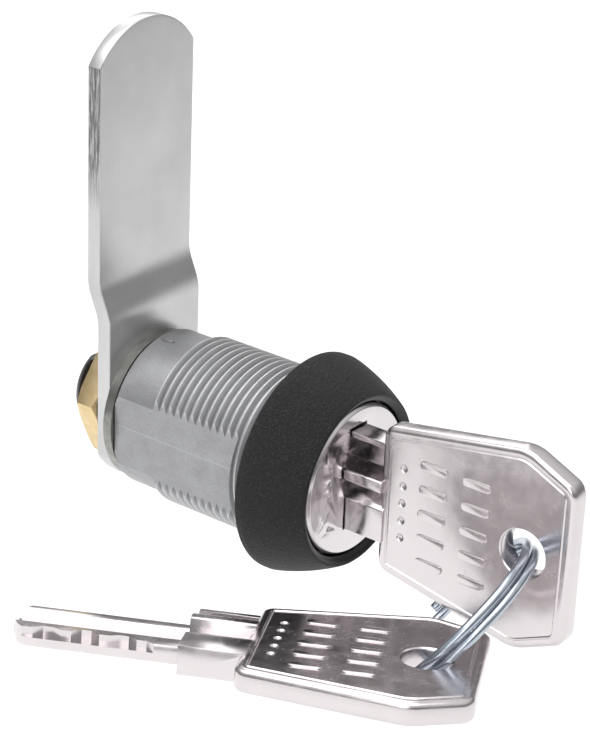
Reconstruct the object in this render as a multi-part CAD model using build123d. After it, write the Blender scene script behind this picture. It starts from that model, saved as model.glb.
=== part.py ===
from build123d import *
import math
import os

# Cam lock with two keys on a split ring, in millimetres.
# The lock's axis is Y: the front, where the key goes in, faces -Y.
# The origin is on the axis, in the plane of the panel that the lock is fixed to.
# At rest the cam points up, along +Z.

# Housing: a threaded barrel with two flats, and a head that the bezel covers.
THREAD_R = 9.5
THREAD_PITCH = 1.0
THREAD_ROOT_R = 8.92
NECK_LENGTH = 2.6
THREAD_END = 14.6
LEAD_R = 8.9
BODY_LENGTH = 20.0
FLAT_X = 7.95
FLAT_START = 2.9
HEAD_R = 10.0
HEAD_FRONT = -5.3
COUNTERBORE_R = 8.5
COUNTERBORE_FLOOR = -4.0
BORE_R = 6.05

# Bezel: a plastic ring pressed over the housing's head.
BEZEL_R = 12.1
BEZEL_FRONT_R = 9.6
BEZEL_BULGE = (11.1, -4.0)
BEZEL_FRONT = -7.2
BEZEL_GAP = 0.03
LIP_R = 8.6

# Plug: the part that the key turns.
PLUG_HEAD_R = 8.4
PLUG_FACE = -6.85
PLUG_HEAD_REAR = -4.03
BARREL_R = 6.0
BARREL_END = 20.1
STUD_R = 5.0
STUD_FLAT_Z = 4.0
STUD_END = 28.8
STUD_PITCH = 1.0

# Wafers: seven plates across the plug. The key holds them level with it.
# Without the key each wafer's own spring lifts it into a groove in the housing.
WAFER_COUNT = 7
WAFER_FIRST = -1.0
WAFER_PITCH = 1.9
WAFER_T = 0.8
WAFER_R = 5.95
WAFER_HALF_W = 3.9
WAFER_LIFT = 0.8
WAFER_GAP = 0.04
LUG_X = 2.1
LUG_Z = -0.6
SPRING_X = 2.95
SPRING_FLOOR = -4.3
SPRING_R = 0.52
SPRING_WIRE_R = 0.11
SPRING_TURNS = 6
POCKET_R = 0.75
GROOVE_TOP = 6.95
GROOVE_END = 11.4

# The last plate stays out, in a ring groove, and keeps the plug in the housing.
KEEPER_Y = 16.4
KEEPER_OUT = 0.7
KEEPER_GROOVE_R = 6.95

# Limit stop: a tooth on the stop washer runs in a pocket behind the housing.
STOP_R = 8.5
STOP_FRONT = 20.1
STOP_T = 1.1
TOOTH_ANGLE = 135.0
TOOTH_HALF = 14.0
TOOTH_IN = 6.2
TOOTH_OUT = 7.6
TOOTH_DEPTH = 1.1
TURN = 90.0

# Cam, lock washer and nut.
CAM_FRONT = 21.2
CAM_T = 1.8
CAM_HALF_W = 7.5
CAM_BOTTOM_R = 8.6
CAM_SHOULDER = 40.0
CAM_TOP = 44.0
CRANK_LOW = 12.2
CRANK_HIGH = 15.7
CRANK = 1.5
WASHER_R = 6.6
WASHER_T = 0.8
NUT_AF = 12.6
NUT_T = 2.7
NUT_BORE_R = 5.03
NUT_TURN = 7.0

# Key: lengths named _U run out of the lock, along -Y, from the panel plane.
BLADE_TIP = 12.3
BLADE_TOP = 2.9
BLADE_BOTTOM = -3.1
SHOULDER_U = 5.0
HEAD_U = 11.05
WIDE_U = 28.3
OUTER_U = 34.2
HEAD_HALF = 8.3
WIDE_HALF = 11.4
OUTER_HALF = 8.7
HEAD_T = 2.5
HEAD_X = -0.5
HOLE_U = 28.7
HOLE_R = 2.6
RIM_INSET = 1.0
RIM_W = 0.35
RIM_H = 0.15
HEAD_EDGE = 0.5
KEYWAY_GAP = 0.12
CUT_DEPTHS = (0.5, 1.1, 0.7, 1.3, 0.6, 1.0, 0.4)

# Split ring through both keys' holes.
WIRE_R = 0.5
RING_R = 10.5
COIL_GAP = 0.02
JOG_HALF = 22.0
RING_NORMAL = Vector(-0.2524, 0.7203, 0.6461)
RING_BACK = Vector(0.3212, 0.6922, -0.6463)
RING_CENTRE = Vector(-6.74, -24.532, -7.041)
SPARE_HOLE = Vector(-16.47, -27.88, -7.06)
SPARE_BACK = Vector(-0.1358, -0.0696, -0.9883)
SPARE_UP = Vector(0.8727, 0.4639, -0.1525)

EDGE = 0.2


def turned(points):
    """A solid of revolution about Y from (radius, y) points."""
    outline = Plane.XY * make_face(Polyline(*points, close=True))
    return revolve(outline, Axis.Y)


def rod(radius, start, end):
    """A cylinder about Y from one y to another."""
    return extrude(Plane.XZ.offset(-start) * Circle(radius), -(end - start))


def block(x, y, z):
    """A box from three (low, high) pairs."""
    size = [high - low for low, high in (x, y, z)]
    middle = [(high + low) / 2 for low, high in (x, y, z)]
    return Pos(*middle) * Box(*size)


def across(sketch, start, end):
    """Extrudes a sketch drawn in x and z from one y to another."""
    face = Plane((0, start, 0), x_dir=(1, 0, 0), z_dir=(0, -1, 0)) * sketch
    return extrude(face, -(end - start))


def polygon(points):
    return make_face(Polyline(*points, close=True))


def thread(radius, root, start, end, pitch, flat=0.1):
    """The (radius, y) points of a ring thread's outline between two heights."""
    points = []
    for turn in range(int((end - start) / pitch + 0.001)):
        y = start + turn * pitch
        points += [
            (radius, y),
            (root, y + pitch / 2 - flat),
            (root, y + pitch / 2 + flat),
            (radius, y + pitch - flat),
        ]
    return points


def housing():
    crest = thread(THREAD_R, THREAD_ROOT_R, NECK_LENGTH, THREAD_END, THREAD_PITCH)
    barrel = turned(
        [(0, HEAD_FRONT), (HEAD_R, HEAD_FRONT), (HEAD_R, 0), (THREAD_R, 0)]
        + crest
        + [(LEAD_R, THREAD_END), (LEAD_R, BODY_LENGTH - 0.4)]
        + [(LEAD_R - 0.4, BODY_LENGTH), (0, BODY_LENGTH)]
    )
    for side in (-1, 1):
        edges = sorted((side * FLAT_X, side * 20))
        barrel -= block(edges, (FLAT_START, BODY_LENGTH + 1), (-12, 12))
    barrel -= rod(BORE_R, HEAD_FRONT - 1, BODY_LENGTH + 1)
    barrel -= rod(COUNTERBORE_R, HEAD_FRONT - 1, COUNTERBORE_FLOOR)
    half = WAFER_HALF_W + 0.15
    reach = (COUNTERBORE_FLOOR - 1, GROOVE_END)
    barrel -= block((-half, half), reach, (0, GROOVE_TOP))
    barrel -= block((0, GROOVE_TOP), reach, (-half, half))
    keeper = (KEEPER_Y - 0.6, KEEPER_Y + 0.6)
    barrel -= rod(KEEPER_GROOVE_R, *keeper)
    return barrel - stop_pocket()


def sector(inner, outer, middle, half, start, end):
    """A ring sector about Y; angles run from +Z towards +X, in degrees."""
    ring = rod(outer, start, end) - rod(inner, start - 1, end + 1)
    angles = [middle + half * share for share in (-1, -0.5, 0, 0.5, 1)]
    reach = outer * 2
    rim = [
        (reach * math.sin(math.radians(a)), reach * math.cos(math.radians(a)))
        for a in angles
    ]
    return ring & across(polygon([(0, 0)] + rim), start, end)


def stop_pocket():
    half = TOOTH_HALF + 1 + TURN / 2
    middle = TOOTH_ANGLE + TURN / 2
    floor = STOP_FRONT - TOOTH_DEPTH - 0.15
    return sector(BORE_R - 1, TOOTH_OUT + 0.2, middle, half, floor, BODY_LENGTH + 1)


def bezel():
    bore = HEAD_R + BEZEL_GAP
    ledge = HEAD_FRONT - BEZEL_GAP
    outline = [
        Line((bore, 0), (BEZEL_R, 0)),
        Line((BEZEL_R, 0), (BEZEL_R, -0.9)),
        ThreePointArc((BEZEL_R, -0.9), BEZEL_BULGE, (BEZEL_FRONT_R, BEZEL_FRONT + 0.1)),
        ThreePointArc(
            (BEZEL_FRONT_R, BEZEL_FRONT + 0.1),
            (BEZEL_FRONT_R - 0.25, BEZEL_FRONT),
            (BEZEL_FRONT_R - 0.5, BEZEL_FRONT + 0.05),
        ),
        Line((BEZEL_FRONT_R - 0.5, BEZEL_FRONT + 0.05), (LIP_R, BEZEL_FRONT + 0.5)),
        Line((LIP_R, BEZEL_FRONT + 0.5), (LIP_R, ledge)),
        Line((LIP_R, ledge), (bore, ledge)),
        Line((bore, ledge), (bore, 0)),
    ]
    return revolve(Plane.XY * make_face(outline), Axis.Y)


KEYWAY_OUTLINE = [
    (-1.7, 6.5), (1.3, 6.5), (1.3, -5.15), (-2.15, -5.15),
    (-2.15, -1.2), (-2.8, 0.45), (-2.8, 2.45), (-1.65, 3.45),
]
SHOULDER_OUTLINE = [
    (-1.5, 6.3), (1.1, 6.3), (1.1, -5.0), (-2.0, -5.0), (-2.0, -1.3), (-0.4, 0.1),
    (-0.4, 0.7), (-2.5, 1.0), (-2.6, 1.2), (-2.6, 2.15), (-2.4, 2.3), (0.2, 2.6),
    (0.2, 5.6), (-1.5, 5.6),
]
BLADE_OUTLINE = [
    (-1.0, BLADE_TOP), (0.9, BLADE_TOP), (0.9, 0.9), (0.5, 0.2), (0.5, -1.0),
    (0.9, -1.5), (0.9, BLADE_BOTTOM), (-1.0, BLADE_BOTTOM), (-1.0, -1.2),
    (-0.2, 0.0), (-0.2, 1.3), (-1.0, 1.7),
]


def wafer_y(index):
    return WAFER_FIRST + WAFER_PITCH * index


def plug():
    stud = thread(STUD_R, STUD_R - 0.55, BARREL_END + 3, STUD_END - 0.4, STUD_PITCH)
    body = turned(
        [(0, PLUG_FACE), (PLUG_HEAD_R - 0.35, PLUG_FACE), (PLUG_HEAD_R, PLUG_FACE + 0.35)]
        + [(PLUG_HEAD_R, PLUG_HEAD_REAR), (BARREL_R, PLUG_HEAD_REAR)]
        + [(BARREL_R, BARREL_END), (STUD_R, BARREL_END)]
        + stud
        + [(STUD_R - 0.5, STUD_END), (0, STUD_END)]
    )
    for side in (-1, 1):
        edges = sorted((side * STUD_FLAT_Z, side * 10))
        body -= block((-8, 8), (BARREL_END, STUD_END + 1), edges)
    body -= across(polygon(KEYWAY_OUTLINE), PLUG_FACE - 1, -SHOULDER_U + 0.1)
    for step in range(5):
        dot = Pos(-4.8, 3.1 - 1.75 * step) * Circle(0.32)
        body -= across(dot, PLUG_FACE - 1, PLUG_FACE + 0.15)
    slot = offset(polygon(BLADE_OUTLINE), KEYWAY_GAP, kind=Kind.INTERSECTION)
    body -= across(slot, PLUG_FACE - 1, BLADE_TIP + 0.5)
    places = [wafer_y(i) for i in range(WAFER_COUNT)] + [KEEPER_Y]
    side = WAFER_HALF_W + 0.07
    for y in places:
        gap = (y - WAFER_T / 2 - WAFER_GAP, y + WAFER_T / 2 + WAFER_GAP)
        body -= block((-side, LUG_X + 0.05), gap, (-8, 8))
        body -= block((LUG_X, side), gap, (LUG_Z - 0.05, 8))
        depth = LUG_Z + WAFER_LIFT + 0.1 - SPRING_FLOOR
        bottom = (Align.CENTER, Align.CENTER, Align.MIN)
        pocket = Cylinder(POCKET_R, depth, align=bottom)
        body -= Pos(SPRING_X, y, SPRING_FLOOR) * pocket
    return body


def wafer(y, window_top, window_bottom, rise=0.0):
    """A plate across the plug with a window for the blade and a lug on the spring."""
    face = Circle(WAFER_R) & Rectangle(2 * WAFER_HALF_W, 4 * WAFER_R)
    face -= Pos(LUG_X + 5, LUG_Z - 5) * Rectangle(10, 10)
    height = window_top - window_bottom
    window = Rectangle(2.14, height)
    face -= Pos(-0.05, (window_top + window_bottom) / 2) * window
    return Pos(0, 0, rise) * across(face, y - WAFER_T / 2, y + WAFER_T / 2)


def spring(y, top):
    """A coil of square-cut wire between the pocket's floor and the wafer's lug."""
    height = top - SPRING_FLOOR - 2 * SPRING_WIRE_R
    path = Helix(height / SPRING_TURNS, height, SPRING_R)
    start = Plane(origin=path @ 0, z_dir=path % 0)
    coil = sweep(start * Circle(SPRING_WIRE_R), path)
    return Pos(SPRING_X, y, SPRING_FLOOR + SPRING_WIRE_R) * coil


def double_d(radius, flat):
    return Circle(radius) & Rectangle(4 * radius, 2 * flat)


def stop_washer():
    disc = rod(STOP_R, STOP_FRONT, STOP_FRONT + STOP_T)
    disc -= across(double_d(STUD_R + 0.05, STUD_FLAT_Z + 0.05), 19, 24)
    tooth = (STOP_FRONT - TOOTH_DEPTH, STOP_FRONT + 0.2)
    return disc + sector(TOOTH_IN, TOOTH_OUT, TOOTH_ANGLE, TOOTH_HALF, *tooth)


def cam():
    lean = math.atan2(CRANK, CRANK_HIGH - CRANK_LOW)
    slip = CAM_T * math.tan(lean / 2)
    rear = CAM_FRONT + CAM_T
    side = [
        (CAM_FRONT, -12), (CAM_FRONT, CRANK_LOW), (CAM_FRONT + CRANK, CRANK_HIGH),
        (CAM_FRONT + CRANK, 50), (rear + CRANK, 50), (rear + CRANK, CRANK_HIGH - slip),
        (rear, CRANK_LOW - slip), (rear, -12),
    ]
    plate = extrude(Plane.YZ * polygon(side), 12, both=True)
    creases = plate.edges().filter_by(Axis.X).filter_by(
        lambda e: CRANK_LOW - 2 < e.center().Z < CRANK_HIGH + 2
    )
    plate = fillet(creases, 1.1)
    low = -math.sqrt(CAM_BOTTOM_R**2 - CAM_HALF_W**2)
    left, right = -CAM_HALF_W, CAM_HALF_W
    outline = [
        Line((left, low), (left, CAM_SHOULDER)),
        ThreePointArc((left, CAM_SHOULDER), (0, CAM_TOP), (right, CAM_SHOULDER)),
        Line((right, CAM_SHOULDER), (right, low)),
        ThreePointArc((right, low), (0, -CAM_BOTTOM_R), (left, low)),
    ]
    plate &= across(make_face(outline), 15, 30)
    plate -= across(double_d(STUD_R + 0.05, STUD_FLAT_Z + 0.05), 15, 30)
    rim = plate.edges().filter_by(
        lambda e: abs(e.center().X) > 6 or e.center().Z > 39 or e.center().Z < -5
    )
    faces = (CAM_FRONT, CAM_FRONT + CRANK, rear, rear + CRANK)
    rim = rim.filter_by(lambda e: any(abs(e.center().Y - y) < 0.01 for y in faces))
    return chamfer(rim, EDGE)


def lock_washer():
    start = CAM_FRONT + CAM_T
    ring = rod(WASHER_R, start, start + WASHER_T)
    return ring - rod(STUD_R + 0.1, start - 1, start + WASHER_T + 1)


def hex_nut():
    start = CAM_FRONT + CAM_T + WASHER_T
    hexagon = RegularPolygon(NUT_AF / 2, 6, major_radius=False)
    flats = across(Rot(0, 0, -NUT_TURN) * hexagon, start, start + NUT_T)
    corner = NUT_AF / 2 / math.cos(math.radians(30))
    cut = 0.55
    rounder = turned(
        [(0, start), (corner - cut, start), (corner + 0.05, start + cut * 0.6)]
        + [(corner + 0.05, start + NUT_T - cut * 0.6), (corner - cut, start + NUT_T)]
        + [(0, start + NUT_T)]
    )
    nut = (flats & rounder) - rod(NUT_BORE_R, start - 1, start + NUT_T + 1)
    return nut


def head_outline(inset=0.0):
    """The key head's face, drawn in y and z; inset shrinks it evenly."""
    face = polygon(
        [(-HEAD_U, -HEAD_HALF), (-HEAD_U, HEAD_HALF), (-WIDE_U, WIDE_HALF)]
        + [(-OUTER_U, OUTER_HALF), (-OUTER_U, -OUTER_HALF), (-WIDE_U, -WIDE_HALF)]
    )
    face = fillet(face.vertices(), 1.6)
    return offset(face, -inset) if inset else face


def upright(sketch, low, high):
    """Extrudes a sketch drawn in y and z from one x to another."""
    return extrude(Plane.YZ.offset(low) * sketch, high - low)


def blade():
    bar = across(polygon(BLADE_OUTLINE), -SHOULDER_U - 0.5, BLADE_TIP)
    tip = polygon(
        [(BLADE_TIP, -0.8), (BLADE_TIP, 0.9), (BLADE_TIP - 0.5, 2.2)]
        + [(BLADE_TIP - 1.4, 3.5), (-SHOULDER_U - 1, 3.5), (-SHOULDER_U - 1, -3.5)]
        + [(BLADE_TIP - 2.1, -3.5), (BLADE_TIP - 0.7, -2.2)]
    )
    bar &= upright(tip, -3, 3)
    track = [(wafer_y(0) - 1.6, -4.0), (wafer_y(0) - 1.3, BLADE_BOTTOM)]
    for index, depth in enumerate(CUT_DEPTHS):
        y = wafer_y(index)
        track += [(y - 0.5, BLADE_BOTTOM + depth), (y + 0.5, BLADE_BOTTOM + depth)]
    track += [(wafer_y(WAFER_COUNT - 1) + 1.2, BLADE_BOTTOM)]
    track += [(wafer_y(WAFER_COUNT - 1) + 1.4, -4.0)]
    return bar - upright(polygon(track), -2, -0.05)


def key():
    """A key at its working place, fully in the lock."""
    low, high = HEAD_X - HEAD_T / 2, HEAD_X + HEAD_T / 2
    hole = Pos(-HOLE_U, 0) * Circle(HOLE_R)
    bow = upright(head_outline() - hole, low, high)
    bow = chamfer(bow.edges().filter_by(lambda e: in_face(e, low, high)), HEAD_EDGE)
    rim = head_outline(RIM_INSET) - head_outline(RIM_INSET + RIM_W)
    bow += upright(rim, low - RIM_H, low + 0.1)
    bow += upright(rim, high - 0.1, high + RIM_H)
    for place in (17.6, 22.8):
        for step in range(-2, 3):
            bar = Pos(-place, step * 2.8) * SlotOverall(3.4, 1.1)
            bow += upright(bar, low - RIM_H, low + 0.1)
    for step in range(5):
        dot = Pos(-13.9, 4.4 - 2.0 * step) * Circle(0.42)
        bow -= upright(dot, low - 1, low + 0.18)
    body = across(polygon(SHOULDER_OUTLINE), -HEAD_U - HEAD_EDGE, -SHOULDER_U)
    return bow + body + blade()


def in_face(edge, low, high):
    x = edge.center().X
    flat = edge.bounding_box().size.X < 1e-4
    return flat and (abs(x - low) < 1e-4 or abs(x - high) < 1e-4)


def spare_key():
    place = Plane(origin=SPARE_HOLE, x_dir=SPARE_BACK, z_dir=SPARE_UP)
    return Location(place) * Pos(-HEAD_X, HOLE_U, 0) * key()


def key_ring():
    """Two close coils of wire joined by a short jog."""
    half_gap = WIRE_R + COIL_GAP
    points = []
    for step in range(97):
        angle = JOG_HALF + (720 - 2 * JOG_HALF) * step / 96
        share = min(max((angle - 360 + JOG_HALF) / (2 * JOG_HALF), 0), 1)
        height = -half_gap + 2 * half_gap * share * share * (3 - 2 * share)
        a = math.radians(angle)
        points.append((RING_R * math.cos(a), RING_R * math.sin(a), height))
    path = Spline(*points)
    coil = sweep(Plane(origin=path @ 0, z_dir=path % 0) * Circle(WIRE_R), path)
    place = Plane(origin=RING_CENTRE, x_dir=RING_BACK, z_dir=RING_NORMAL)
    return Location(place) * coil


window = (BLADE_TOP + 0.1, BLADE_BOTTOM - WAFER_LIFT - 0.06)
nodes = {
    "housing": housing(),
    "bezel": bezel(),
    "plug": plug(),
    "stop_washer": stop_washer(),
    "cam": cam(),
    "lock_washer": lock_washer(),
    "hex_nut": hex_nut(),
    "key": key(),
    "spare_key": spare_key(),
    "key_ring": key_ring(),
    "keeper_wafer": wafer(KEEPER_Y, 1.5, -1.5, KEEPER_OUT),
    "keeper_spring": spring(KEEPER_Y, LUG_Z + KEEPER_OUT),
}
for index in range(WAFER_COUNT):
    nodes[f"wafer_{index + 1}"] = wafer(wafer_y(index), *window)
    nodes[f"wafer_spring_{index + 1}"] = spring(wafer_y(index), LUG_Z)

os.makedirs("parts", exist_ok=True)
for name, shape in nodes.items():
    export_step(shape, f"parts/{name}.step")
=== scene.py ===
import math

import bmesh
import bpy
from mathutils import Euler, Matrix, Vector


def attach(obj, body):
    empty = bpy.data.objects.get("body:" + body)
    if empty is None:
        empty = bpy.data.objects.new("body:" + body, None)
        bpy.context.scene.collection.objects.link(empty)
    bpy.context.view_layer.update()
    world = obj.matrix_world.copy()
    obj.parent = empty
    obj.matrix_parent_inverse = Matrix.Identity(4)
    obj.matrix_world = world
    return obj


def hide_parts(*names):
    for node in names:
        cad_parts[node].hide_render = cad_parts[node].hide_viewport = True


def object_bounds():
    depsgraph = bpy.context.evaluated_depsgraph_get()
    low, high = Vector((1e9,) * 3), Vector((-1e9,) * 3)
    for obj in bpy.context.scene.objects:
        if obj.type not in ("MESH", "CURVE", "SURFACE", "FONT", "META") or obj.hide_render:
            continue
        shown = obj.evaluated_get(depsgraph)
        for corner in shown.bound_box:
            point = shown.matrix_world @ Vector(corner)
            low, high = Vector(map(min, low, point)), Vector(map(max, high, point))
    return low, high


# Cam lock with two keys on a split ring. Shapes are worked out in millimetres
# in the frame of the CAD model, and each piece is made metres when it is placed.
# The lock's axis is Y, the front faces -Y and the cam points up.

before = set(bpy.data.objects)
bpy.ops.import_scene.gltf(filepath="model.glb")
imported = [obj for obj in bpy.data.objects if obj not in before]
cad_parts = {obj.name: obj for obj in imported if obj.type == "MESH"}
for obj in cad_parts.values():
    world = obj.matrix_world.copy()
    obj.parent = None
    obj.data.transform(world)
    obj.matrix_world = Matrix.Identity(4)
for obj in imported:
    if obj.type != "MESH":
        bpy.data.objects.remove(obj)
cad_low, cad_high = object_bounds()
scene = bpy.context.scene
MM = 0.001

# Housing
THREAD_R = 9.5
THREAD_ROOT = 8.98
THREAD_START = 0.6
THREAD_END = 14.6
LEAD_R = 8.9
LEAD_CHAMFER = 0.45
BODY_END = 20.0
FLAT_X = 7.95
FLAT_START = 2.9
HEAD_R = 10.0
HEAD_FRONT = -5.3
HEAD_BACK = -0.02
NECK_R = THREAD_R - 0.1
MARK_X = (-1.6, -1.1)
MARK_Y = (17.4, 19.0)
MARK_RISE = 0.12
BORE_R = 6.05
COUNTERBORE_R = 8.5
COUNTERBORE_FLOOR = -4.0
GROOVE_HALF = 4.05
GROOVE_TOP = 6.95
GROOVE_END = 11.4
KEEPER_PLACE = (15.8, 17.0)
POCKET_R = 7.8
POCKET_FLOOR = 18.85
POCKET_ANGLES = (120, 240)

# Bezel
BEZEL_R = 12.1
BEZEL_FRONT = -7.2
BEZEL_FRONT_R = 9.6
BEZEL_BULGE = (11.1, -4.0)
LIP_R = 8.6
BEZEL_PLAY = 0.03
RIM_ROUND = 0.25

# Cam, nut and stud
CAM_FRONT = 21.2
CAM_T = 1.8
CAM_HALF_W = 7.5
CAM_BOTTOM_R = 8.6
CAM_SHOULDER = 40.0
CAM_TOP = 44.0
CRANK_LOW = 12.2
CRANK_HIGH = 15.7
CRANK = 1.5
CREASE_CUTS = (-1.6, -1.2, -0.8, -0.4, 0.0, 0.4, 0.8, 1.2, 1.6)
CREASE_SOFT = 0.9
CAM_EDGE = 0.22
CAM_PLAY = 0.06
NUT_START = 23.8
NUT_T = 2.7
NUT_AF = 12.6
NUT_TURN = 7.0
NUT_ROUND = 0.7
NUT_PLAY = 0.03
STUD_R = 5.0
STUD_FLAT = 4.0

# Key, at its place in the lock
HEAD_BASE = -11.05
HEAD_WIDE = -28.3
HEAD_END = -34.2
HEAD_HALVES = (8.3, 11.4, 8.7)
HEAD_X = -0.5
HEAD_T = 2.5
HEAD_CORNER = 1.15
HEAD_EDGE = 0.65
FACE_STEPS = ((0.35, 0), (0.12, 0.12), (0.10, 0.0), (0.12, -0.12))
GRIP_COLUMNS = (-17.6, -22.8)
GRIP_PITCH = 2.8
GRIP_HALF_LONG = 1.7
GRIP_HALF_WIDE = 0.5
GRIP_RISE = 0.15
DOT_R = 0.6
DOT_OUT = 0.38
DOT_Y = -13.9
DOT_TOP = 4.4
DOT_PITCH = 2.0
HOLE_Y = -28.7
HOLE_R = 2.6
SHOULDER_Y = -5.0
BLADE_TIP = 12.3
BLADE_BOTTOM = -3.1
WAFER_PLACES = [-1.0 + 1.9 * index for index in range(7)]
CUT_DEPTHS = (0.5, 1.1, 0.7, 1.3, 0.6, 1.0, 0.4)
SHOULDER_SECTION = [
    (-1.5, 6.3), (1.1, 6.3), (1.1, -5.0), (-2.0, -5.0), (-2.0, -1.3), (-0.4, 0.1),
    (-0.4, 0.7), (-2.5, 1.0), (-2.6, 1.2), (-2.6, 2.15), (-2.4, 2.3), (0.2, 2.6),
    (0.2, 5.6), (-1.5, 5.6),
]
BLADE_SECTION = [
    (-1.0, 2.9), (0.9, 2.9), (0.9, 0.9), (0.5, 0.2), (0.5, -1.0),
    (0.9, -1.5), (0.9, -3.1), (-1.0, -3.1), (-1.0, -1.2),
    (-0.2, 0.0), (-0.2, 1.3), (-1.0, 1.7),
]

# Split ring and spare key
WIRE_R = 0.5
COIL_GAP = 0.02
JOG_ANGLE = 22.0
RING_R = 10.5
RING_CENTRE = Vector((-6.74, -24.532, -7.041))
RING_NORMAL = Vector((-0.2524, 0.7203, 0.6461)).normalized()
RING_BACK = Vector((0.3212, 0.6922, -0.6463))
SPARE_HOLE = Vector((-16.47, -27.88, -7.06))
SPARE_BACK = Vector((-0.1358, -0.0696, -0.9883)).normalized()
SPARE_UP = Vector((0.8727, 0.4639, -0.1525)).normalized()


# ---------------------------------------------------------------- mesh tools


def turned(profile, steps=144):
    """A ring or disc about Y from a closed (radius, y) profile."""
    bm = bmesh.new()
    verts = [bm.verts.new((radius, y, 0)) for radius, y in profile]
    edges = [bm.edges.new(pair) for pair in zip(verts, verts[1:] + verts[:1])]
    bmesh.ops.spin(
        bm, geom=verts + edges, cent=(0, 0, 0), axis=(0, 1, 0),
        dvec=(0, 0, 0), angle=math.tau, steps=steps, use_merge=True,
    )
    return tidied(bm)


def tidied(bm):
    """Merges doubles, drops collapsed edges and turns the faces outwards."""
    bmesh.ops.remove_doubles(bm, verts=bm.verts, dist=1e-4)
    bmesh.ops.dissolve_degenerate(bm, edges=bm.edges, dist=1e-4)
    loose = [v for v in bm.verts if not v.link_faces]
    bmesh.ops.delete(bm, geom=loose, context="VERTS")
    bmesh.ops.recalc_face_normals(bm, faces=bm.faces)
    return bm


def prism(outline, direction):
    """A solid from a flat outline of points, pushed along a direction."""
    bm = bmesh.new()
    face = bm.faces.new([bm.verts.new(point) for point in outline])
    return thickened(bm, face, direction)


def thickened(bm, face, direction):
    """Pushes a flat face along a direction, which makes it a solid."""
    pushed = bmesh.ops.extrude_face_region(bm, geom=[face])
    verts = [item for item in pushed["geom"] if isinstance(item, bmesh.types.BMVert)]
    bmesh.ops.translate(bm, verts=verts, vec=direction)
    return tidied(bm)


def block(low, high):
    """A box between two corners."""
    bm = bmesh.new()
    bmesh.ops.create_cube(bm, size=1)
    low, high = Vector(low), Vector(high)
    bmesh.ops.scale(bm, vec=high - low, verts=bm.verts)
    bmesh.ops.translate(bm, vec=(low + high) / 2, verts=bm.verts)
    return bm


def rounded(bm, width, segments, angle, chosen=None):
    """Rounds the edges that are sharper than an angle, or only the chosen ones of them."""
    limit = math.radians(angle)
    edges = [
        edge for edge in bm.edges
        if len(edge.link_faces) == 2 and edge.calc_face_angle(0) > limit
        and (chosen is None or chosen(edge))
    ]
    bmesh.ops.bevel(
        bm, geom=edges, offset=width, offset_type="OFFSET", segments=segments,
        profile=0.5, affect="EDGES", clamp_overlap=True, material=-1,
    )
    return bm


def carved(bm, tool, operation="DIFFERENCE"):
    """The solid cut by, joined to, or kept inside another one. Both are used up."""
    blocks = []
    for name, solid in (("blank", bm), ("tool", tool)):
        mesh = bpy.data.meshes.new(name)
        solid.to_mesh(mesh)
        solid.free()
        blocks.append(bpy.data.objects.new(name, mesh))
        scene.collection.objects.link(blocks[-1])
    blank, cutter = blocks
    modifier = blank.modifiers.new("carve", "BOOLEAN")
    modifier.object = cutter
    modifier.operation = operation
    modifier.solver = "EXACT"
    out = bmesh.new()
    out.from_object(blank, bpy.context.evaluated_depsgraph_get())
    for item in blocks:
        mesh = item.data
        bpy.data.objects.remove(item)
        bpy.data.meshes.remove(mesh)
    return out


def joined(solids):
    """Several separate solids in one bmesh."""
    out = bmesh.new()
    for solid in solids:
        mesh = bpy.data.meshes.new("part")
        solid.to_mesh(mesh)
        solid.free()
        out.from_mesh(mesh)
        bpy.data.meshes.remove(mesh)
    return out


def placed(bm, name, material, body, nodes, sharp=32):
    """Makes the finished piece, in metres, riding on its CAD body."""
    bmesh.ops.transform(bm, matrix=Matrix.Scale(MM, 4), verts=bm.verts)
    mesh = bpy.data.meshes.new(name)
    bm.to_mesh(mesh)
    bm.free()
    mesh.materials.append(material)
    mesh.shade_smooth()
    mesh.set_sharp_from_angle(angle=math.radians(sharp))
    piece = bpy.data.objects.new(name, mesh)
    scene.collection.objects.link(piece)
    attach(piece, body)
    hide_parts(*nodes)
    return piece


def arc(centre, radius, start, end, steps):
    """Points on an arc, as (first, second) pairs, between two angles in degrees."""
    points = []
    for step in range(steps + 1):
        a = math.radians(start + (end - start) * step / steps)
        points.append((centre[0] + radius * math.cos(a), centre[1] + radius * math.sin(a)))
    return points


def bowed(first, middle, last, steps):
    """Points on the arc that runs through three points."""
    (ax, ay), (bx, by), (cx, cy) = first, middle, last
    a, b, c = (x * x + y * y for x, y in (first, middle, last))
    twice = 2 * (ax * (by - cy) + bx * (cy - ay) + cx * (ay - by))
    centre = (
        (a * (by - cy) + b * (cy - ay) + c * (ay - by)) / twice,
        (a * (cx - bx) + b * (ax - cx) + c * (bx - ax)) / twice,
    )
    start, end = (
        math.degrees(math.atan2(y - centre[1], x - centre[0])) for x, y in (first, last)
    )
    return arc(centre, math.dist(first, centre), start, end, steps)


# ----------------------------------------------------------------- materials


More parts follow.
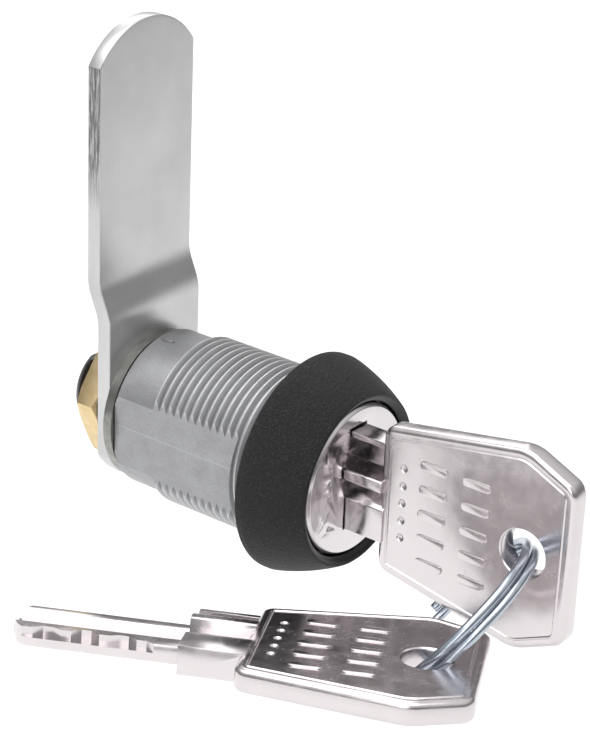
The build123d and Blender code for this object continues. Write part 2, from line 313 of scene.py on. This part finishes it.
class Finish:
    """A node tree builder for one procedural finish on millimetre coordinates."""

    def __init__(self, name):
        self.material = bpy.data.materials.new(name)
        self.material.use_nodes = True
        self.nodes = self.material.node_tree.nodes
        self.links = self.material.node_tree.links
        self.shader = self.nodes["Principled BSDF"]
        self.coordinates = self.nodes.new("ShaderNodeTexCoord")

    def link(self, out, into):
        self.links.new(out, into)

    def stretched(self, scale, turn=(0, 0, 0)):
        """Object coordinates with a frequency per millimetre along each axis."""
        mapping = self.nodes.new("ShaderNodeMapping")
        mapping.inputs["Scale"].default_value = [value / MM for value in scale]
        mapping.inputs["Rotation"].default_value = turn
        self.link(self.coordinates.outputs["Object"], mapping.inputs["Vector"])
        return mapping.outputs["Vector"]

    def noise(self, scale, detail=4.0, rough=0.55, distortion=0.0, turn=(0, 0, 0)):
        texture = self.nodes.new("ShaderNodeTexNoise")
        texture.inputs["Scale"].default_value = 1.0
        texture.inputs["Detail"].default_value = detail
        texture.inputs["Roughness"].default_value = rough
        texture.inputs["Distortion"].default_value = distortion
        self.link(self.stretched(scale, turn), texture.inputs["Vector"])
        return texture.outputs["Fac"]

    def cells(self, scale):
        texture = self.nodes.new("ShaderNodeTexVoronoi")
        texture.inputs["Scale"].default_value = 1.0
        self.link(self.stretched(scale), texture.inputs["Vector"])
        return texture.outputs["Distance"]

    def spread(self, value, low, high, to_low=0.0, to_high=1.0):
        """A value between two limits carried to two others."""
        node = self.nodes.new("ShaderNodeMapRange")
        node.inputs["From Min"].default_value = low
        node.inputs["From Max"].default_value = high
        node.inputs["To Min"].default_value = to_low
        node.inputs["To Max"].default_value = to_high
        self.link(value, node.inputs["Value"])
        return node.outputs["Result"]

    def math(self, operation, first, second=0.0):
        node = self.nodes.new("ShaderNodeMath")
        node.operation = operation
        for socket, value in zip(node.inputs, (first, second)):
            if isinstance(value, (int, float)):
                socket.default_value = value
            else:
                self.link(value, socket)
        return node.outputs["Value"]

    def blended(self, share, first, second):
        """Two colours, mixed by a share."""
        node = self.nodes.new("ShaderNodeMix")
        node.data_type = "RGBA"
        self.link(share, node.inputs["Factor"])
        for socket, value in ((node.inputs[6], first), (node.inputs[7], second)):
            if isinstance(value, tuple):
                socket.default_value = (*value, 1.0)
            else:
                self.link(value, socket)
        return node.outputs[2]

    def bump(self, height, strength, distance, after=None):
        node = self.nodes.new("ShaderNodeBump")
        node.inputs["Strength"].default_value = strength
        node.inputs["Distance"].default_value = distance * MM
        self.link(height, node.inputs["Height"])
        if after is not None:
            self.link(after, node.inputs["Normal"])
        return node.outputs["Normal"]

    def place(self, axis):
        """One object coordinate, in millimetres."""
        node = self.nodes.new("ShaderNodeSeparateXYZ")
        self.link(self.coordinates.outputs["Object"], node.inputs["Vector"])
        return self.math("MULTIPLY", node.outputs[axis], 1 / MM)

    def radius(self):
        """The distance from the lock's axis, in millimetres."""
        squares = [
            self.math("POWER", self.math("ABSOLUTE", self.place(axis)), 2.0) for axis in "XZ"
        ]
        return self.math("SQRT", self.math("ADD", *squares))

    def facing(self, axis):
        """How far the surface faces along an axis, from 0 to 1."""
        node = self.nodes.new("ShaderNodeSeparateXYZ")
        self.link(self.coordinates.outputs["Normal"], node.inputs["Vector"])
        return self.math("ABSOLUTE", node.outputs[axis])

    def set(self, **values):
        for name, value in values.items():
            socket = self.shader.inputs[name.replace("_", " ")]
            if isinstance(value, (int, float)):
                socket.default_value = value
            elif isinstance(value, tuple):
                socket.default_value = (*value, 1.0)
            else:
                self.link(value, socket)
        return self.material


def die_cast_zinc():
    """Satin grey casting: fine grain, a painted highlight on the thread crests and a parting line.
    """
    f = Finish("die_cast_zinc")
    clouds = f.noise((0.5, 0.35, 0.5), detail=5)
    grain = f.noise((7, 7, 7), detail=4, rough=0.7)
    share = f.math(
        "ADD", f.spread(clouds, 0.3, 0.7, 0.2, 0.5), f.spread(grain, 0.35, 0.65, 0.0, 0.5),
    )
    colour = f.blended(share, (0.21, 0.212, 0.22), (0.40, 0.402, 0.41))
    # Painted highlight: the thread crests are painted lighter, standing in for light on the crests
    # and shade in the grooves.
    crest = f.spread(f.radius(), THREAD_R - 0.35, THREAD_R - 0.05)
    colour = f.blended(f.math("MULTIPLY", crest, 0.7), colour, (0.62, 0.62, 0.63))
    from_line = f.math("ABSOLUTE", f.math("SUBTRACT", f.place("Z"), 0.6))
    line = f.math("LESS_THAN", from_line, 0.07)
    on_flat = f.math("GREATER_THAN", f.facing("X"), 0.98)
    line = f.math("MULTIPLY", line, on_flat)
    colour = f.blended(f.math("MULTIPLY", line, 0.35), colour, (0.50, 0.50, 0.51))
    roughness = f.spread(grain, 0.3, 0.7, 0.34, 0.50)
    height = f.math("ADD", grain, f.math("MULTIPLY", line, 0.8))
    return f.set(
        Base_Color=colour, Metallic=0.85, Roughness=roughness,
        Normal=f.bump(height, 0.6, 0.06),
    )


def textured_plastic():
    """Black moulding with a spark-eroded texture and a smooth, darker inner lip."""
    f = Finish("textured_plastic")
    grain = f.noise((4.5, 4.5, 4.5), detail=6, rough=0.75)
    pits = f.cells((3.6, 3.6, 3.6))
    lip = f.spread(f.radius(), 9.25, 9.5)
    height = f.math("ADD", grain, f.math("MULTIPLY", pits, 0.7))
    specks = f.spread(grain, 0.52, 0.70)
    colour = f.blended(specks, (0.006, 0.006, 0.007), (0.055, 0.055, 0.060))
    colour = f.blended(lip, (0.003, 0.003, 0.0035), colour)
    roughness = f.math(
        "MULTIPLY", f.spread(lip, 0, 1, 0.6, 1.0), f.spread(grain, 0.3, 0.7, 0.5, 0.68),
    )
    return f.set(
        Base_Color=colour, Roughness=roughness,
        Specular_IOR_Level=0.36, Normal=f.bump(f.math("MULTIPLY", height, lip), 1.0, 0.24),
    )


def nickel(name, tint, low, high, bare=None):
    """Nickel plate with hairline scratches; past y = bare, if given, it is dark metal."""
    f = Finish(name)
    swirl = f.noise((0.16, 0.16, 0.16), detail=2)
    scratch = f.noise((0.7, 5, 14), detail=2, turn=(0.5, 0.2, 0.3))
    handling = f.noise((0.5, 0.5, 0.5), detail=5, rough=0.55)
    roughness = f.math(
        "ADD", f.spread(handling, 0.35, 0.7, low, high),
        f.spread(scratch, 0.62, 0.75, 0.0, 0.06),
    )
    darker = tuple(value * 0.93 for value in tint)
    colour = f.blended(f.spread(handling, 0.3, 0.7), darker, tint)
    if bare is not None:
        beyond = f.math("GREATER_THAN", f.place("Y"), bare)
        colour = f.blended(beyond, colour, (0.055, 0.053, 0.055))
        roughness = f.math("ADD", roughness, f.math("MULTIPLY", beyond, 0.22))
    soft = f.bump(swirl, 0.05, 0.5)
    return f.set(
        Base_Color=colour, Metallic=1.0, Roughness=roughness,
        Normal=f.bump(scratch, 0.04, 0.02, after=soft),
    )


def zinc_plate():
    """Bright zinc on rolled steel; the sheared edges show vertical tearing."""
    f = Finish("zinc_plated_steel")
    clouds = f.noise((0.12, 0.3, 0.09), detail=5)
    grain = f.noise((7, 7, 7), detail=3)
    tearing = f.noise((1.2, 5.5, 0.30), detail=4, rough=0.7)
    side = f.math("GREATER_THAN", f.facing("X"), 0.9)
    high_up = f.spread(f.place("Z"), 24, 30)
    torn = f.math("MULTIPLY", f.math("MULTIPLY", side, high_up), f.spread(tearing, 0.40, 0.52))
    colour = f.blended(f.spread(clouds, 0.3, 0.7), (0.47, 0.47, 0.47), (0.56, 0.56, 0.56))
    colour = f.blended(f.math("MULTIPLY", torn, 0.85), colour, (0.08, 0.08, 0.085))
    roughness = f.spread(grain, 0.3, 0.7, 0.27, 0.40)
    height = f.math("SUBTRACT", grain, f.math("MULTIPLY", torn, 1.5))
    return f.set(
        Base_Color=colour, Metallic=0.95, Roughness=roughness,
        Normal=f.bump(height, 0.15, 0.06),
    )


def turned_metal(name, dark, light, low, high):
    """A machined metal with fine turning marks around the lock's axis."""
    f = Finish(name)
    marks = f.noise((0.3, 16, 0.3), detail=2)
    clouds = f.noise((0.6, 0.6, 0.6), detail=4)
    colour = f.blended(f.spread(clouds, 0.3, 0.7), dark, light)
    return f.set(
        Base_Color=colour, Metallic=1.0, Roughness=f.spread(marks, 0.3, 0.7, low, high),
        Normal=f.bump(marks, 0.15, 0.03),
    )


zinc = die_cast_zinc()
plastic = textured_plastic()
plug_nickel = nickel("plug_nickel", (0.64, 0.61, 0.62), 0.14, 0.24, bare=BODY_END + 0.2)
key_nickel = nickel("key_nickel", (0.64, 0.60, 0.61), 0.18, 0.28)
cam_steel = zinc_plate()
brass = turned_metal("brass", (0.56, 0.42, 0.22), (0.72, 0.57, 0.33), 0.28, 0.40)
# Partly painted shade: this near-black steel gives the lock washer its own dark colour and also
# stands in for the shade in the gap between the nut and the cam.
dark_steel = turned_metal("dark_steel", (0.05, 0.05, 0.05), (0.11, 0.11, 0.11), 0.35, 0.5)
wire = turned_metal("spring_wire", (0.34, 0.38, 0.44), (0.50, 0.54, 0.60), 0.16, 0.26)
stop_steel = turned_metal("stop_washer_steel", (0.20, 0.20, 0.19), (0.34, 0.34, 0.32), 0.3, 0.42)


# ------------------------------------------------------------------- housing


def screw(crest, root, start, end, pitch):
    """A solid with a right-hand thread, cut square at both ends."""
    steps = 96
    bm = bmesh.new()
    shape = [(0.0, root), (0.10, root), (0.42, crest), (0.56, crest), (0.90, root), (1.0, root)]
    origin = start - 1.5 * pitch
    verts = [bm.verts.new((radius, origin + share * pitch, 0)) for share, radius in shape]
    edges = [bm.edges.new(pair) for pair in zip(verts, verts[1:])]
    turns = math.ceil((end - start) / pitch) + 2
    bmesh.ops.spin(
        bm, geom=verts + edges, cent=(0, 0, 0), axis=(0, 1, 0),
        dvec=(0, pitch / steps, 0), angle=math.tau * turns, steps=steps * turns,
    )
    bmesh.ops.remove_doubles(bm, verts=bm.verts, dist=1e-4)
    for y, side in ((start, -1), (end, 1)):
        sliced(bm, (0, y, 0), (0, side, 0))
    return tidied(bm)


def sliced(bm, point, outwards):
    """Cuts away what lies beyond a plane and closes the cut."""
    cut = bmesh.ops.bisect_plane(
        bm, geom=bm.verts[:] + bm.edges[:] + bm.faces[:], dist=1e-5,
        plane_co=point, plane_no=outwards, clear_outer=True,
    )
    edges = [e for e in cut["geom_cut"] if isinstance(e, bmesh.types.BMEdge)]
    bmesh.ops.triangle_fill(bm, use_beauty=True, use_dissolve=True, edges=edges)
    return bm


def housing():
    """The threaded barrel with its flats, its head, a cast mark and the space inside."""
    shank = screw(THREAD_R, THREAD_ROOT, THREAD_START, THREAD_END, 1.0)
    lead_start = THREAD_END - 0.2
    lead = turned([
        (0, lead_start), (LEAD_R, lead_start), (LEAD_R, BODY_END - LEAD_CHAMFER),
        (LEAD_R - LEAD_CHAMFER, BODY_END), (0, BODY_END),
    ])
    shank = carved(shank, lead, "UNION")
    for near, far in ((-20, -FLAT_X), (FLAT_X, 20)):
        shank = carved(shank, block((near, FLAT_START, -12), (far, BODY_END + 1, 12)))
    neck_end = THREAD_START + 0.1
    head = turned([
        (0, HEAD_FRONT), (HEAD_R, HEAD_FRONT), (HEAD_R, HEAD_BACK),
        (NECK_R, HEAD_BACK), (NECK_R, neck_end), (0, neck_end),
    ])
    whole = carved(shank, head, "UNION")
    (left, right), (start, end) = MARK_X, MARK_Y
    mark = block((left, start, LEAD_R - 0.3), (right, end, LEAD_R + MARK_RISE))
    whole = carved(whole, rounded(mark, 0.1, 2, 30), "UNION")
    for cutter in (bore(), *wafer_grooves(), stop_pocket()):
        whole = carved(whole, cutter)
    return whole


def bore():
    """The cutter for the plug's bore, its counterbore and the keeper's groove."""
    before, after = -9, 22
    keeper_start, keeper_end = KEEPER_PLACE
    return turned([
        (0, before), (COUNTERBORE_R, before), (COUNTERBORE_R, COUNTERBORE_FLOOR),
        (BORE_R, COUNTERBORE_FLOOR), (BORE_R, keeper_start), (GROOVE_TOP, keeper_start),
        (GROOVE_TOP, keeper_end), (BORE_R, keeper_end), (BORE_R, after), (0, after),
    ])


def wafer_grooves():
    """The cutters for the grooves that the wafers stand in, above the plug and beside it."""
    front = COUNTERBORE_FLOOR - 0.5
    above = block((-GROOVE_HALF, front, 0), (GROOVE_HALF, GROOVE_END, GROOVE_TOP))
    beside = block((0, front, -GROOVE_HALF), (GROOVE_TOP, GROOVE_END, GROOVE_HALF))
    return above, beside


def stop_pocket():
    """The cutter for the recess behind the body where the stop washer's tooth runs."""
    first, last = (90 - angle for angle in POCKET_ANGLES)
    outline = arc((0, 0), POCKET_R, first, last, 32)
    outline += arc((0, 0), BORE_R - 1, last, first, 32)
    depth = BODY_END + 1 - POCKET_FLOOR
    return prism([(x, POCKET_FLOOR, z) for x, z in outline], (0, depth, 0))


placed(housing(), "housing", zinc, "lock_body", ["housing"], sharp=25)


# --------------------------------------------------------------------- bezel


def bezel():
    """The black ring: a bulged skirt, a rounded front edge and an inner lip over the head."""
    inner = HEAD_R + BEZEL_PLAY
    ledge = HEAD_FRONT - BEZEL_PLAY
    profile = [(inner, 0), (BEZEL_R - RIM_ROUND, 0)]
    profile += arc((BEZEL_R - RIM_ROUND, -RIM_ROUND), RIM_ROUND, 80, 0, 4)
    profile += bowed((BEZEL_R, -0.9), BEZEL_BULGE, (BEZEL_FRONT_R, BEZEL_FRONT + 0.15), 16)
    profile += [(BEZEL_FRONT_R - 0.1, BEZEL_FRONT + 0.04), (BEZEL_FRONT_R - 0.25, BEZEL_FRONT)]
    profile += [(BEZEL_FRONT_R - 0.45, BEZEL_FRONT + 0.05), (LIP_R + 0.12, BEZEL_FRONT + 0.48)]
    profile += [(LIP_R, BEZEL_FRONT + 0.65), (LIP_R, ledge), (inner, ledge)]
    return turned(profile, 192)


placed(bezel(), "bezel", plastic, "lock_body", ["bezel"], sharp=40)


# ----------------------------------------------------------------------- cam


def cam():
    """The flat arm with its crank, its rounded end and the hole for the stud."""
    low = -math.degrees(math.acos(CAM_HALF_W / CAM_BOTTOM_R))
    outline = arc((0, 0), CAM_BOTTOM_R, low, -180 - low, 24)
    rise = CAM_TOP - CAM_SHOULDER
    radius = (CAM_HALF_W ** 2 + rise ** 2) / (2 * rise)
    half = math.degrees(math.asin(CAM_HALF_W / radius))
    outline += arc((0, CAM_TOP - radius), radius, 90 + half, 90 - half, 24)
    plate = prism([(x, 0, z) for x, z in outline], (0, CAM_T, 0))
    lean = math.atan2(CRANK, CRANK_HIGH - CRANK_LOW)
    slip = CAM_T * math.tan(lean / 2)
    for height in [start + cut for start in (CRANK_LOW, CRANK_HIGH) for cut in CREASE_CUTS]:
        bmesh.ops.bisect_plane(
            plate, geom=plate.verts[:] + plate.edges[:] + plate.faces[:],
            plane_co=(0, 0, height), plane_no=(0, 0, 1), dist=1e-5,
        )
    rounded(plate, CAM_EDGE, 3, 60, lambda e: abs(e.verts[0].co.y - e.verts[1].co.y) < 0.01)
    for vert in plate.verts:
        depth = vert.co.y / CAM_T
        vert.co.y += CAM_FRONT + crank(vert.co.z + slip * depth)
    hole = prism(double_d(STUD_R + CAM_PLAY, STUD_FLAT + CAM_PLAY, 15), (0, 15, 0))
    return carved(plate, hole)


def crank(z):
    """How far the plate has stepped back at a height, with soft creases."""

    def ramp(distance):
        if distance < -CREASE_SOFT:
            return 0.0
        if distance > CREASE_SOFT:
            return distance
        return (distance + CREASE_SOFT) ** 2 / (4 * CREASE_SOFT)

    slope = CRANK / (CRANK_HIGH - CRANK_LOW)
    return slope * (ramp(z - CRANK_LOW) - ramp(z - CRANK_HIGH))


def double_d(radius, flat, y):
    """The outline of a round with two flats, at one y."""
    half = math.degrees(math.asin(flat / radius))
    points = arc((0, 0), radius, -half, half, 24)
    points += arc((0, 0), radius, 180 - half, 180 + half, 24)
    return [(x, y, z) for x, z in points]


placed(cam(), "cam", cam_steel, "plug", ["cam"], sharp=28)


# ----------------------------------------------------------------------- nut


def hex_nut():
    """A six-sided nut with rounded corners and a flared, smooth bore."""
    corner = NUT_AF / 2 / math.cos(math.radians(30))
    outline = [(x, NUT_START, z) for x, z in hexagon(corner)]
    nut = prism(outline, (0, NUT_T, 0))
    start, end = NUT_START, NUT_START + NUT_T
    outer, flat, bored = corner + 0.1, corner - NUT_ROUND, STUD_R + NUT_PLAY
    rounder = turned([
        (0, start), (flat, start), (outer, start + 0.4),
        (outer, end - 0.4), (flat, end), (0, end),
    ])
    nut = carved(nut, rounder, "INTERSECT")
    drill = turned([
        (0, start - 1), (bored, start - 1), (bored, end - 0.35),
        (STUD_R + 0.5, end + 0.1), (0, end + 0.1),
    ])
    return rounded(tidied(carved(nut, drill)), 0.05, 2, 20)


def hexagon(corner):
    """The six corners of the nut, turned to where it was tightened."""
    turns = [math.radians(a - NUT_TURN) for a in range(0, 360, 60)]
    return [(corner * math.cos(turn), corner * math.sin(turn)) for turn in turns]


placed(hex_nut(), "hex_nut", brass, "plug", ["hex_nut"])


# ---------------------------------------------------------------------- keys


def key():
    """The whole key at its place in the lock."""
    key_body = carved(key_head(), key_shoulder(), "UNION")
    return tidied(carved(key_body, key_blade(), "UNION"))


def key_head():
    """The eight-sided head with its raised border, grip bars, dots and ring hole."""
    low = HEAD_X - HEAD_T / 2
    near, wide, far = HEAD_HALVES
    corners = [(HEAD_BASE, -near), (HEAD_WIDE, -wide), (HEAD_END, -far)]
    corners += [(y, -z) for y, z in reversed(corners)]
    bm = bmesh.new()
    bm.faces.new([bm.verts.new((low, y, z)) for y, z in corners])
    bmesh.ops.bevel(
        bm, geom=bm.verts[:], offset=HEAD_CORNER, offset_type="OFFSET", segments=6,
        profile=0.5, affect="VERTICES", clamp_overlap=True, material=-1,
    )
    thickened(bm, bm.faces[:][0], (HEAD_T, 0, 0))
    rounded(bm, HEAD_EDGE, 5, 60)
    for side in (-1, 1):
        front = max(bm.faces, key=lambda f: f.calc_area() if f.normal.x * side > 0.9 else 0)
        for thickness, depth in FACE_STEPS:
            bmesh.ops.inset_region(
                bm, faces=[front], thickness=thickness, depth=depth, use_even_offset=True,
            )
    bars = [
        grip_bar(low, column, step * GRIP_PITCH) for column in GRIP_COLUMNS for step in range(-2, 3)
    ]
    bm = carved(bm, joined(bars), "UNION")
    dots = [dot(low - DOT_OUT, DOT_TOP - DOT_PITCH * step) for step in range(5)]
    bm = carved(bm, joined(dots))
    return carved(bm, ring_hole())


def grip_bar(surface, y, z):
    """One raised bar with round ends on the key's face."""
    low = (surface - GRIP_RISE, y - GRIP_HALF_LONG, z - GRIP_HALF_WIDE)
    high = (surface + 0.3, y + GRIP_HALF_LONG, z + GRIP_HALF_WIDE)
    bar = block(low, high)
    rounded(bar, 0.48, 5, 60, lambda e: abs(e.verts[0].co.x - e.verts[1].co.x) > 0.1)
    return rounded(bar, 0.1, 2, 60, lambda e: max(v.co.x for v in e.verts) < surface)


def dot(x, z):
    """The cutter for one small round mark on the key's face."""
    bm = bmesh.new()
    bmesh.ops.create_icosphere(bm, subdivisions=3, radius=DOT_R)
    bmesh.ops.translate(bm, verts=bm.verts, vec=(x, DOT_Y, z))
    return bm


def ring_hole():
    """The cutter for the hole, with a softly flared edge at both faces."""
    half = HEAD_T / 2
    flare = [(HOLE_R + 0.55, half + 0.4), (HOLE_R + 0.2, half), (HOLE_R + 0.06, half - 0.1)]
    flare += [(HOLE_R, half - 0.25)]
    lower = [(radius, -y) for radius, y in flare]
    upper = flare[::-1]
    spool = turned([(0, -half - 0.4)] + lower + upper + [(0, half + 0.4)], 96)
    turn = Matrix.Translation((HEAD_X, HOLE_Y, 0)) @ Matrix.Rotation(-math.pi / 2, 4, "Z")
    bmesh.ops.transform(spool, matrix=turn, verts=spool.verts)
    return spool


def key_shoulder():
    """The thick profiled bar between the head and the blade."""
    outline = [(x, HEAD_BASE - HEAD_EDGE, z) for x, z in SHOULDER_SECTION]
    bar = prism(outline, (0, SHOULDER_Y - HEAD_BASE + HEAD_EDGE, 0))
    return rounded(bar, 0.12, 2, 25)


def key_blade():
    """The grooved blade with its pointed tip and the cuts along its lower edge."""
    outline = [(x, SHOULDER_Y - 0.5, z) for x, z in BLADE_SECTION]
    bar = rounded(prism(outline, (0, BLADE_TIP - SHOULDER_Y + 0.5, 0)), 0.1, 2, 25)
    tip = BLADE_TIP
    side = [(tip, -0.8), (tip, 0.9), (tip - 0.5, 2.2), (tip - 1.4, 3.5)]
    side += [(-7, 3.5), (-7, -3.5), (tip - 2.1, -3.5), (tip - 0.7, -2.2)]
    bar = carved(bar, prism([(-3, y, z) for y, z in side], (6, 0, 0)), "INTERSECT")
    track = [(WAFER_PLACES[0] - 1.6, -4.0), (WAFER_PLACES[0] - 1.3, BLADE_BOTTOM)]
    for y, depth in zip(WAFER_PLACES, CUT_DEPTHS):
        track += [(y - 0.5, BLADE_BOTTOM + depth), (y + 0.5, BLADE_BOTTOM + depth)]
    track += [(WAFER_PLACES[-1] + 1.2, BLADE_BOTTOM), (WAFER_PLACES[-1] + 1.4, -4.0)]
    return carved(bar, prism([(-2, y, z) for y, z in track], (1.95, 0, 0)))


first_key = key()
second_key = first_key.copy()
across = SPARE_UP.cross(SPARE_BACK)
turn = Matrix((SPARE_BACK, across, SPARE_UP)).transposed().to_4x4()
spare_place = Matrix.Translation(SPARE_HOLE) @ turn @ Matrix.Translation((-HEAD_X, -HOLE_Y, 0))
bmesh.ops.transform(second_key, matrix=spare_place, verts=second_key.verts)
placed(first_key, "key", key_nickel, "key", ["key"], sharp=30)
placed(second_key, "spare_key", key_nickel, "spare_key", ["spare_key"], sharp=30)


# ---------------------------------------------------------------- split ring


def key_ring():
    """Two close flat coils, joined by a short jog behind the keys."""
    steps = 240
    sweep = 720 - 2 * JOG_ANGLE
    lift = WIRE_R + COIL_GAP
    bm = bmesh.new()
    section = bmesh.ops.create_circle(bm, cap_ends=True, segments=20, radius=WIRE_R)["verts"]
    stand = Matrix.Rotation(math.radians(JOG_ANGLE), 4, "Z")
    stand = stand @ Matrix.Translation((RING_R, 0, -lift))
    stand = stand @ Matrix.Rotation(math.pi / 2, 4, "X")
    bmesh.ops.transform(bm, matrix=stand, verts=section)
    live = bm.faces[:] + bm.edges[:] + bm.verts[:]

    def height(angle):
        share = min(max((angle - 360 + JOG_ANGLE) / (2 * JOG_ANGLE), 0), 1)
        return 2 * lift * share * share * (3 - 2 * share)

    for step in range(steps):
        before = JOG_ANGLE + sweep * step / steps
        after = JOG_ANGLE + sweep * (step + 1) / steps
        made = bmesh.ops.spin(
            bm, geom=live, cent=(0, 0, 0), axis=(0, 0, 1),
            dvec=(0, 0, height(after) - height(before)),
            angle=math.radians(after - before), steps=1,
        )
        live = made["geom_last"]
    tidied(bm)
    rounded(bm, 0.12, 3, 60)
    side = RING_NORMAL.cross(RING_BACK).normalized()
    back = side.cross(RING_NORMAL)
    turn = Matrix((back, side, RING_NORMAL)).transposed().to_4x4()
    bmesh.ops.transform(bm, matrix=Matrix.Translation(RING_CENTRE) @ turn, verts=bm.verts)
    return bm


placed(key_ring(), "key_ring", wire, "ring", ["key_ring"], sharp=50)


# ---------------------------------------------------------------------- plug


def from_cad(node):
    """A copy of a CAD node's mesh, in millimetres, with its flat faces made whole."""
    bm = bmesh.new()
    bm.from_mesh(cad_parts[node].data)
    bmesh.ops.transform(bm, matrix=Matrix.Scale(1 / MM, 4), verts=bm.verts)
    bmesh.ops.remove_doubles(bm, verts=bm.verts, dist=1e-4)
    bmesh.ops.dissolve_limit(
        bm, angle_limit=math.radians(0.5), use_dissolve_boundaries=False,
        verts=bm.verts, edges=bm.edges,
    )
    return bm


plug = rounded(from_cad("plug"), 0.04, 2, 35)
placed(plug, "plug", plug_nickel, "plug", ["plug"], sharp=30)

# These keep their CAD shapes and only get a finish.
carried = {
    # The lock washer's near-black finish is partly painted shade for the gap between the nut and
    # the cam.
    "stop_washer": stop_steel, "lock_washer": dark_steel,
    "keeper_wafer": brass, "keeper_spring": wire,
}
for index in range(1, 8):
    carried[f"wafer_{index}"] = brass
    carried[f"wafer_spring_{index}"] = wire
for node, material in carried.items():
    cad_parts[node].data.materials.clear()
    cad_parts[node].data.materials.append(material)


# ------------------------------------------------------- floor, light, camera


FLOOR_DROP = 0.035
FLOOR_HALF = 3.0


def floor():
    """A pale floor under the lock, in metres."""
    bm = bmesh.new()
    bmesh.ops.create_grid(bm, x_segments=1, y_segments=1, size=FLOOR_HALF)
    bmesh.ops.translate(bm, verts=bm.verts, vec=(0, 0, cad_low.z - FLOOR_DROP))
    mesh = bpy.data.meshes.new("floor")
    bm.to_mesh(mesh)
    bm.free()
    f = Finish("pale_floor")
    mottle = f.noise((0.02, 0.02, 0.02), detail=3)
    colour = f.blended(f.spread(mottle, 0.3, 0.7), (0.92, 0.92, 0.92), (0.94, 0.94, 0.94))
    f.set(Base_Color=colour, Roughness=0.9)
    mesh.materials.append(f.material)
    piece = bpy.data.objects.new("floor", mesh)
    scene.collection.objects.link(piece)


def soft_light(name, place, target, size, watts):
    """A rectangular lamp that faces a point."""
    light = bpy.data.lights.new(name, "AREA")
    light.shape = "RECTANGLE"
    light.size, light.size_y = size
    light.energy = watts
    item = bpy.data.objects.new(name, light)
    item.location = place
    item.rotation_euler = (Vector(target) - Vector(place)).to_track_quat("-Z", "Y").to_euler()
    scene.collection.objects.link(item)


def sky():
    """Soft light from all round, brightest from above."""
    world = bpy.data.worlds.new("studio")
    scene.world = world
    world.use_nodes = True
    nodes, links = world.node_tree.nodes, world.node_tree.links
    coordinates = nodes.new("ShaderNodeTexCoord")
    split = nodes.new("ShaderNodeSeparateXYZ")
    ramp = nodes.new("ShaderNodeValToRGB")
    links.new(coordinates.outputs["Generated"], split.inputs["Vector"])
    links.new(split.outputs["Z"], ramp.inputs["Fac"])
    stops = ((0.0, 0.55), (0.15, 0.22), (0.38, 0.48), (0.65, 1.0), (1.0, 1.0))
    elements = ramp.color_ramp.elements
    elements[0].position, elements[1].position = stops[0][0], stops[-1][0]
    for position, value in stops[1:-1]:
        elements.new(position)
    for element, (position, value) in zip(elements, stops):
        element.color = (value, value, value, 1)
    links.new(ramp.outputs["Color"], nodes["Background"].inputs["Color"])
    nodes["Background"].inputs["Strength"].default_value = 0.85


floor()
sky()
centre = (cad_low + cad_high) / 2
soft_light("overhead", centre + Vector((-0.1, 0.05, 0.55)), centre, (0.7, 0.6), 3.2)
soft_light("left_front", centre + Vector((-0.5, -0.2, 0.25)), centre, (0.3, 0.4), 0.8)
soft_light("right_back", centre + Vector((0.35, 0.35, 0.3)), centre, (0.3, 0.3), 0.5)

CAMERA_PLACE = Vector((-190.92, -141.053, 120.944)) * MM
CAMERA_AZIMUTH = -53.18
CAMERA_HEIGHT = 24.86
CAMERA_ROLL = 2.36
CAMERA_LENS = 122.95
camera_data = bpy.data.cameras.new("camera")
camera_data.sensor_width = 36.0
camera_data.lens = CAMERA_LENS
camera_data.clip_start = 0.01
camera_data.clip_end = 20.0
camera = bpy.data.objects.new("camera", camera_data)
camera.location = CAMERA_PLACE
aim = (math.radians(90 - CAMERA_HEIGHT), 0, math.radians(CAMERA_AZIMUTH))
look = Euler(aim, "XYZ").to_matrix()
roll = Matrix.Rotation(math.radians(CAMERA_ROLL), 3, "Z")
camera.rotation_euler = (look @ roll).to_euler()
scene.collection.objects.link(camera)
scene.camera = camera
scene.view_settings.view_transform = "Standard"
